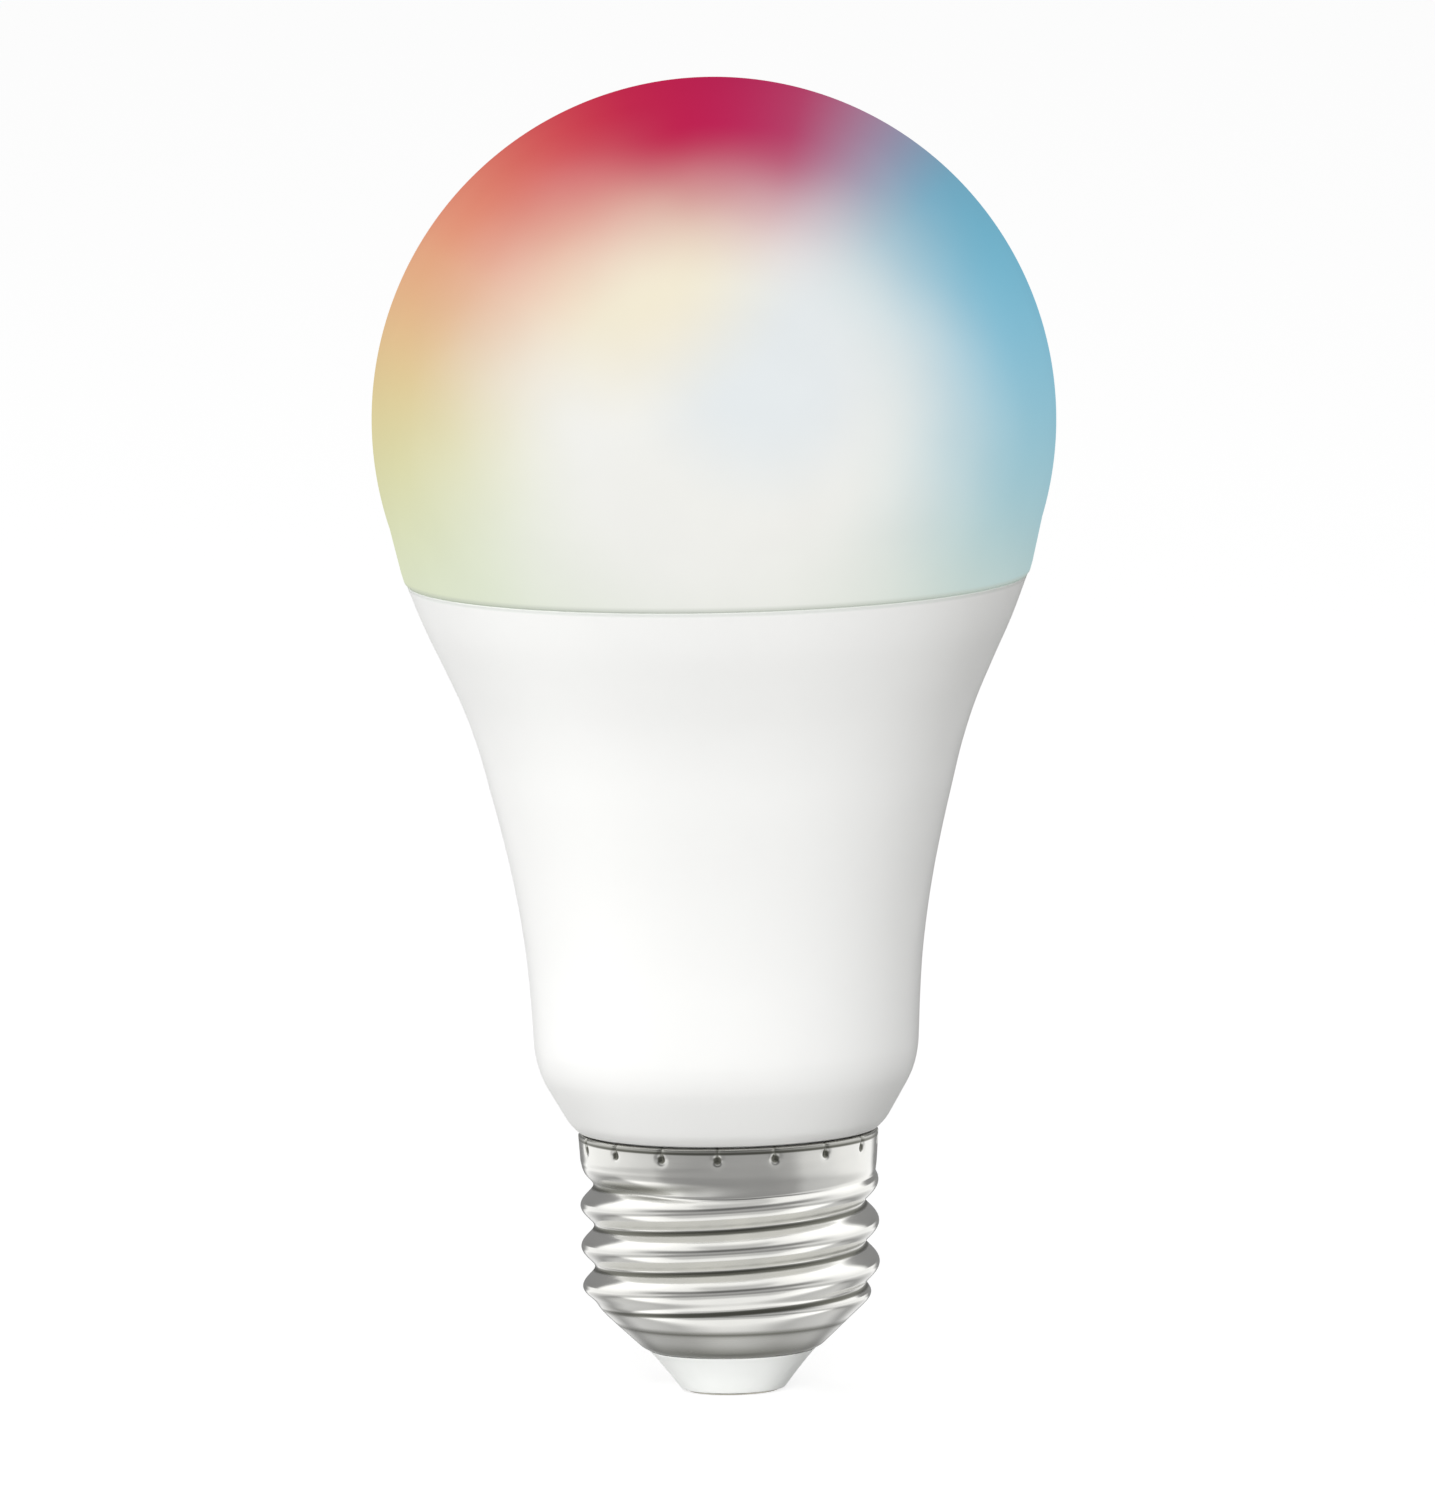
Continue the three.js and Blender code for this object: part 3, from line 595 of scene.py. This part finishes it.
def paint_shell_shade(mesh):
    """Writes how dark each point of the sheet is, from 0 to 1: painted shade and dark reflection, with
    some grime in the groove.
    """
    points = np.empty(len(mesh.vertices) * 3)
    mesh.vertices.foreach_get("co", points)
    x, y, z = points.reshape(-1, 3).T
    angle = np.arctan2(y, x)
    shade_marks = [*thread_shade_and_grime(angle, z), taper_shade(z), *rim_shade(angle, z)]
    shade_and_grime = mesh.attributes.new("shade_and_grime", "FLOAT", "POINT")
    shade_and_grime.data.foreach_set("value", np.clip(np.maximum.reduce(shade_marks), 0, 1))


def nickel_finish():
    """Bright nickel plate, rougher and olive grey where the sheet's point attribute says: painted shade
    in the groove, crimps, slots and under the rim, a painted dark reflection on the taper, and some grime
    in the groove.
    """
    finish = Finish("nickel_plate", Metallic=1.0)
    place = finish.place()
    shade_and_grime = finish.node("Attribute", attribute_name="shade_and_grime").outputs["Fac"]
    streaks = finish.noise(finish.stretched(place, 1, 1, 9), 5 * MM, 4, 0.6)
    cloud = finish.noise(place, 4 * MM, 3)
    plate = finish.mix(cloud, srgb(226, 225, 220), srgb(212, 212, 209))
    # Painted shade, with some grime in the groove: olive grey where the mark is strong.
    painted_dark = finish.ramp(shade_and_grime, [(0.5, srgb(124, 124, 117)), (1.0, srgb(92, 92, 84))])
    finish.set("Base Color", finish.mix(finish.step(shade_and_grime, 0.0, 0.7), plate, painted_dark))
    polish = finish.range(streaks, 0.1, 0.17)
    rougher_in_marks = finish.math("MULTIPLY", shade_and_grime, 0.25)
    finish.set("Roughness", finish.math("ADD", polish, rougher_in_marks))
    finish.bump(streaks, 0.02 * MM, 0.12)
    return finish.material


# ---------------------------------------------------------------- insulator and contact
def insulator_cone():
    """White cone between the shell and the contact, with soft edges and its plug inside."""
    low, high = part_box("cap_insulator")
    hole, hollow_z = 1.65 * MM, 0.55 * MM
    seat = shell_low.z - 0.05 * MM
    return turned("insulator_cone", rounded([
        (hole, hollow_z, 0.1 * MM), (4.2 * MM, hollow_z, 0), (4.2 * MM, low.z, 0.08 * MM),
        (4.55 * MM, low.z, 0.15 * MM), (5.7 * MM, 1.7 * MM, 0.5 * MM), (6.8 * MM, 3.05 * MM, 0.4 * MM),
        (7.35 * MM, seat, 0.12 * MM), (7 * MM, seat, 0), (6.9 * MM, high.z, 0.3 * MM),
        (hole, high.z, 0.2 * MM),
    ], 6), 192)


def insulator_finish():
    """Smooth white moulded insulator."""
    finish = Finish("white_insulator", Roughness=0.3)
    place = finish.place()
    cloud = finish.noise(place, 2.5 * MM, 3)
    finish.set("Base Color", finish.mix(cloud, srgb(247, 248, 247), srgb(240, 242, 240)))
    finish.set("Roughness", finish.range(cloud, 0.28, 0.4))
    finish.bump(finish.noise(place, 0.5 * MM, 2), 0.01 * MM, 0.3)
    return finish.material


def contact_disc():
    """The centre contact: a flat disc with a rolled edge and a hollow stem."""
    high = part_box("contact_eyelet")[1]
    recess, depth = 2.05 * MM, 0.38 * MM
    return turned("contact_disc", rounded([
        (recess, 0, 0.06 * MM), (high.x, 0, 0.2 * MM), (high.x, 0.5 * MM, 0.12 * MM),
        (1.5 * MM, 0.5 * MM, 0.1 * MM), (1.5 * MM, high.z, 0.1 * MM), (1.05 * MM, high.z, 0.05 * MM),
        (1.05 * MM, depth, 0.05 * MM), (recess, depth, 0.05 * MM),
    ], 5), 128)


def contact_nail():
    """The pin pressed into the contact, with a flat head and a tapered end."""
    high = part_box("contact_pin")[1]
    return turned("contact_nail", rounded([
        (0, 0, 0), (high.x, 0, 0.1 * MM), (high.x, 0.3 * MM, 0.08 * MM), (0.9 * MM, 0.3 * MM, 0.1 * MM),
        (0.9 * MM, high.z - 0.6 * MM, 0.15 * MM), (0.25 * MM, high.z, 0.1 * MM), (0, high.z, 0),
    ], 4), 96)


def contact_finish():
    """Tinned brass, clouded and a little scuffed."""
    finish = Finish("tinned_contact", Metallic=1.0)
    place = finish.place()
    cloud = finish.noise(place, 1.2 * MM, 4)
    finish.set("Base Color", finish.mix(cloud, srgb(196, 194, 186), srgb(168, 164, 150)))
    finish.set("Roughness", finish.range(finish.noise(place, 0.4 * MM, 3), 0.28, 0.45))
    finish.bump(finish.noise(place, 0.2 * MM, 3), 0.01 * MM, 0.4)
    return finish.material


# ---------------------------------------------------------------- inner parts
def mottled(name, light, dark, size, roughness, relief=0.0, stretch=(1, 1, 1), **values):
    """A finish with noise in its colour, roughness and fine relief. Sizes are in millimetres."""
    finish = Finish(name, **values)
    place = finish.stretched(finish.place(), *stretch)
    cloud = finish.noise(place, size * MM, 4)
    finish.set("Base Color", finish.mix(finish.range(cloud, 0, 1), srgb(*light), srgb(*dark)))
    finish.set("Roughness", finish.range(finish.noise(place, size * 0.4 * MM, 3), *roughness))
    if relief:
        finish.bump(finish.noise(place, size * 0.25 * MM, 3), relief * MM, 0.5)
    return finish


def coloured(finish, share, colour):
    """Lays another colour over a finish where share is 1."""
    under = finish.shader.inputs["Base Color"].links[0].from_socket
    finish.set("Base Color", finish.mix(share, under, srgb(*colour)))
    return finish


def within_box(finish):
    """A point's place in its own object's box, from -1 to 1 on each axis."""
    place = finish.node("TexCoord").outputs["Generated"]
    return finish.node("VectorMath", place, (2, 2, 2), (-1, -1, -1), operation="MULTIPLY_ADD").outputs[0]


def board(name, mask, dark, trace, upright=True):
    """Solder mask over copper: a pattern of straight traces with a slight relief."""
    finish = mottled(name, mask, dark, 3, (0.28, 0.4))
    place = finish.place()
    across, _, up = finish.node("SeparateXYZ", place).outputs
    copper = finish.node("TexBrick", offset=0.37, squash=0.6)
    if upright:
        place = finish.node("CombineXYZ", up, across).outputs[0]
    finish.plug(copper.inputs["Vector"], place)
    copper.inputs["Scale"].default_value = 1 / MM
    copper.inputs["Mortar Size"].default_value = 0.16
    copper.inputs["Brick Width"].default_value = 3.1
    copper.inputs["Row Height"].default_value = 1.3
    lines = copper.outputs["Fac"]
    coloured(finish, lines, trace)
    finish.bump(lines, 0.035 * MM, 0.6)
    return finish


def led_package(name, body, window):
    """A moulded package with a round window of phosphor in its upper face."""
    finish = mottled(name, body, [0.96 * v for v in body], 0.8, (0.3, 0.42), 0.01)
    middle = finish.node("VectorMath", within_box(finish), (1, 1, 0), operation="MULTIPLY").outputs[0]
    reach = finish.node("VectorMath", middle, operation="LENGTH").outputs["Value"]
    facing = finish.node("SeparateXYZ", finish.node("NewGeometry").outputs["Normal"]).outputs["Z"]
    round_window = finish.math("MULTIPLY", finish.step(reach, 0.66, 0.6), finish.step(facing, 0.7, 0.9))
    return coloured(finish, round_window, window)


def banded(finish, axis, bands, colour):
    """Stripes across one axis of the object's box, as (from, to) pairs between -1 and 1."""
    along = finish.node("SeparateXYZ", within_box(finish)).outputs[axis]
    for low, high in bands:
        inside = finish.math("MULTIPLY", finish.math("GREATER_THAN", along, low),
                             finish.math("LESS_THAN", along, high))
        coloured(finish, inside, colour)
    return finish


def inner_finishes():
    """Finishes of the CAD solids that stay as they are, by material slot."""
    brushed = mottled("drawn_aluminium", (206, 208, 211), (184, 187, 191), 2.5, (0.28, 0.42), 0.01,
                      (1, 1, 0.12), Metallic=1.0)
    steel = mottled("tinned_steel", (200, 201, 202), (178, 179, 180), 1.6, (0.22, 0.36), 0.008,
                    (0.2, 1, 1), Metallic=1.0)
    tape = mottled("yellow_tape", (232, 200, 66), (214, 178, 48), 1.5, (0.2, 0.34), 0.01)
    sleeve = mottled("shrunk_sleeve", (36, 38, 44), (28, 30, 35), 2, (0.25, 0.38), 0.015)
    coat = mottled("resistor_cement", (134, 148, 141), (118, 133, 126), 0.8, (0.6, 0.75), 0.04)
    return {
        "heat_sink": brushed,
        "bright_steel": steel,
        "silicone": mottled("soft_silicone", (232, 232, 227), (218, 218, 211), 2, (0.55, 0.7), 0.04),
        "led_board": board("white_board", (240, 241, 239), (232, 233, 230), (226, 227, 222), False),
        "circuit_board": board("green_board", (34, 104, 66), (28, 92, 57), (52, 132, 84)),
        "radio_board": board("blue_board", (32, 58, 108), (27, 50, 96), (50, 84, 142)),
        "warm_phosphor": led_package("warm_led", (240, 238, 230), (240, 178, 66)),
        "cool_phosphor": led_package("cool_led", (240, 240, 234), (240, 220, 110)),
        "colour_package": led_package("colour_led", (238, 239, 238), (196, 205, 208)),
        "black_epoxy": mottled("black_epoxy", (38, 38, 40), (28, 28, 30), 0.6, (0.45, 0.62), 0.02),
        "capacitor_sleeve": banded(sleeve, "X", [(-1.1, -0.72)], (150, 154, 160)),
        "ferrite": mottled("sintered_ferrite", (66, 66, 68), (50, 50, 52), 0.5, (0.65, 0.85), 0.03),
        "winding_tape": banded(tape, "Z", [(-0.36, -0.32), (0.3, 0.34)], (196, 160, 40)),
        "film_case": mottled("dipped_film", (168, 66, 46), (148, 54, 38), 1.5, (0.3, 0.45), 0.03),
        "resistor_coat": banded(coat, "Z", [(-0.6, -0.45), (-0.2, -0.05), (0.5, 0.62)], (60, 44, 36)),
        "live_insulation": mottled("red_wire", (194, 52, 48), (176, 44, 42), 1, (0.35, 0.5), 0.02),
        "neutral_insulation": mottled("white_wire", (232, 232, 230), (218, 218, 216), 1, (0.35, 0.5),
                                      0.02),
    }


def finish_inner_parts():
    """Gives every CAD node that keeps its solid the finish of its slot."""
    finishes = inner_finishes()
    for part in frame["record"]["subparts"]:
        if part["material_slot"] in finishes:
            for slot in frame["nodes"][part["node"]].material_slots:
                slot.material = finishes[part["material_slot"]].material


# ---------------------------------------------------------------- stage
def make_floor():
    """A wide pale floor under the contact, brighter to the camera than to the bulb above it, and
    clear from below."""
    mesh = bpy.data.meshes.new("floor")
    half = 4.0
    corners = [(-half, -half, 0), (half, -half, 0), (half, half, 0), (-half, half, 0)]
    mesh.from_pydata(corners, [], [(0, 1, 2, 3)])
    floor = bpy.data.objects.new("floor", mesh)
    floor.location.z = -0.02 * MM  # clear of the contact's face
    bpy.context.scene.collection.objects.link(floor)
    finish = Finish("pale_floor", Roughness=0.9)
    finish.set("Specular IOR Level", 0.0)
    seen = finish.node("LightPath").outputs["Is Camera Ray"]
    finish.set("Base Color", finish.mix(seen, (0.4, 0.4, 0.385, 1.0), grey(0.45)))
    finish.set("Emission Color", grey(1))
    finish.set("Emission Strength", finish.math("MULTIPLY", seen, 0.735))
    below = finish.node("NewGeometry").outputs["Backfacing"]
    hidden = finish.math("MULTIPLY", seen, below)
    finish.set("Alpha", finish.math("SUBTRACT", 1.0, hidden))
    mesh.materials.append(finish.material)
    floor.visible_glossy = False
    return floor


def area_light(name, place, size, power, lit, target=(0, 0, 0.06)):
    """A soft box at a place, facing the bulb and lighting only some objects."""
    light = bpy.data.lights.new(name, "AREA")
    light.shape = "RECTANGLE"
    light.size, light.size_y = size
    light.energy = power
    lamp = bpy.data.objects.new(name, light)
    lamp.location = place
    lamp.rotation_euler = (Vector(target) - Vector(place)).to_track_quat("-Z", "Y").to_euler()
    bpy.context.scene.collection.objects.link(lamp)
    group = bpy.data.collections.new(name + "_receivers")
    for piece in lit:
        group.objects.link(piece)
    lamp.light_linking.receiver_collection = group


def make_lights(plain, cone):
    """Soft boxes for the plastic: far to the left, near the camera, and one low for the cone."""
    area_light("left_box", (-1.0, 0.12, 0.16), (0.7, 0.28), 5.3, plain)
    area_light("front_box", (0.02, -1.0, 0.32), (0.5, 0.6), 7.6, plain)
    area_light("low_box", (-0.15, -0.9, 0.045), (0.6, 0.06), 2.9, cone, (0, 0, 0.01))


def tent_in_reflections(sky):
    """Brightness of the room by direction, as the metal mirrors it: a white tent with a dark slit
    behind the bulb, a dim aisle where the camera stands, and a table that is dim behind the bulb."""
    x, y, z = sky.node("SeparateXYZ", sky.node("TexCoord").outputs["Generated"]).outputs
    level = sky.math("SQRT", sky.math("ADD", sky.math("POWER", x, 2), sky.math("POWER", y, 2)))
    toward = sky.math("DIVIDE", y, sky.math("MAXIMUM", level, 0.001))
    around = sky.node("MapRange", toward, 1.0, -1.0).outputs[0]  # 0 behind the bulb, 1 in front
    up = sky.node("MapRange", z, -1.0, 1.0).outputs[0]
    above = sky.math("MULTIPLY", sky.step(z, 0.02, 0.14), sky.step(z, 0.9, 0.6))
    below = sky.step(z, -0.12, -0.35)
    widened = sky.math("SUBTRACT", around, sky.math("MULTIPLY", above, 0.1))
    widened = sky.math("ADD", widened, sky.math("MULTIPLY", below, 0.1))
    side = sky.ramp(widened, [(0.0, grey(0.28)), (0.05, grey(0.3)), (0.1, grey(1.25)), (0.45, grey(1.1)),
                              (0.8, grey(0.85)), (0.88, grey(0.55)), (1.0, grey(0.48))])
    not_overhead = sky.step(sky.math("ABSOLUTE", z), 0.97, 0.8)
    side = sky.mix(not_overhead, grey(0.9), side)
    tent = sky.ramp(up, [(0.0, grey(1.3)), (0.17, grey(1.6)), (0.24, grey(0.8)), (0.34, grey(0.75)),
                         (0.38, grey(1.0)), (0.5, grey(1.0)), (0.7, grey(1.2)), (1.0, grey(1.5))])
    eye_level = sky.ramp(up, [(0.5, grey(0)), (0.58, grey(1)), (0.7, grey(1)), (0.8, grey(0))])
    aisle = sky.math("MULTIPLY", eye_level, sky.step(around, 0.4, 0.85))
    table = sky.math("MULTIPLY", sky.step(y, 0.1, 0.35), sky.step(z, -0.3, -0.55))
    dim = sky.math("MAXIMUM", sky.math("MULTIPLY", aisle, 0.7), sky.math("MULTIPLY", table, 0.6))
    return sky.math("MULTIPLY", sky.math("MULTIPLY", side, tent), sky.math("SUBTRACT", 1.0, dim))


def make_world():
    """A soft pale room, white to the camera. Reflections see the tent, and those of a second
    reflection an even white."""
    world = bpy.data.worlds.new("studio")
    bpy.context.scene.world = world
    world.use_nodes = True
    sky = Nodes(world.node_tree)
    rays = sky.node("LightPath")
    second = sky.math("GREATER_THAN", rays.outputs["Glossy Depth"], 1.5)
    mirrored = sky.mix(second, tent_in_reflections(sky), grey(1.1))
    seen = sky.node("MapRange", rays.outputs["Is Camera Ray"], 0.0, 1.0, ROOM_LIGHT, 1.0).outputs[0]
    strength = sky.node("Mix", rays.outputs["Is Glossy Ray"], data_type="FLOAT")
    sky.plug(strength.inputs[2], seen)
    sky.plug(strength.inputs[3], mirrored)
    room = sky.tree.nodes["Background"]
    room.inputs["Color"].default_value = grey(1)
    sky.plug(room.inputs["Strength"], strength.outputs[0])


def make_camera():
    """A very long lens in front, looking slightly down, turned a little with the leaning bulb."""
    data = bpy.data.cameras.new("camera")
    data.sensor_fit = "HORIZONTAL"
    data.sensor_width = 36.0
    data.lens = 800.0
    distance = FRAME_WIDTH * data.lens / data.sensor_width
    target = Vector((-0.27 * MM, 0, 56.6 * MM))
    back = Vector((0, -math.cos(VIEW_TILT), math.sin(VIEW_TILT)))
    camera = bpy.data.objects.new("camera", data)
    turn = back.to_track_quat("Z", "Y").to_matrix().to_4x4() @ Matrix.Rotation(-VIEW_ROLL, 4, "Z")
    camera.matrix_world = Matrix.Translation(target + back * distance) @ turn
    data.clip_start, data.clip_end = 0.1, 50
    bpy.context.scene.collection.objects.link(camera)
    bpy.context.scene.camera = camera


# ---------------------------------------------------------------- the scene
bpy.context.scene.view_settings.view_transform = "Standard"
make_camera()
make_world()

dome = piece_for(dome_skin(), "diffuser", dome_finish(), "dome_diffuser")
housing = piece_for(housing_skin(), "housing", housing_finish(), "housing_shell")
cone = piece_for(insulator_cone(), "insulator", insulator_finish(), "cap_insulator")
floor = make_floor()
contact = contact_finish()
piece_for(screw_shell(), "nickel_shell", nickel_finish(), "screw_shell")
piece_for(contact_disc(), "contact_metal", contact, "contact_eyelet")
piece_for(contact_nail(), "contact_metal", contact, "contact_pin")
make_lights([dome, housing, cone, floor], [cone])
finish_inner_parts()
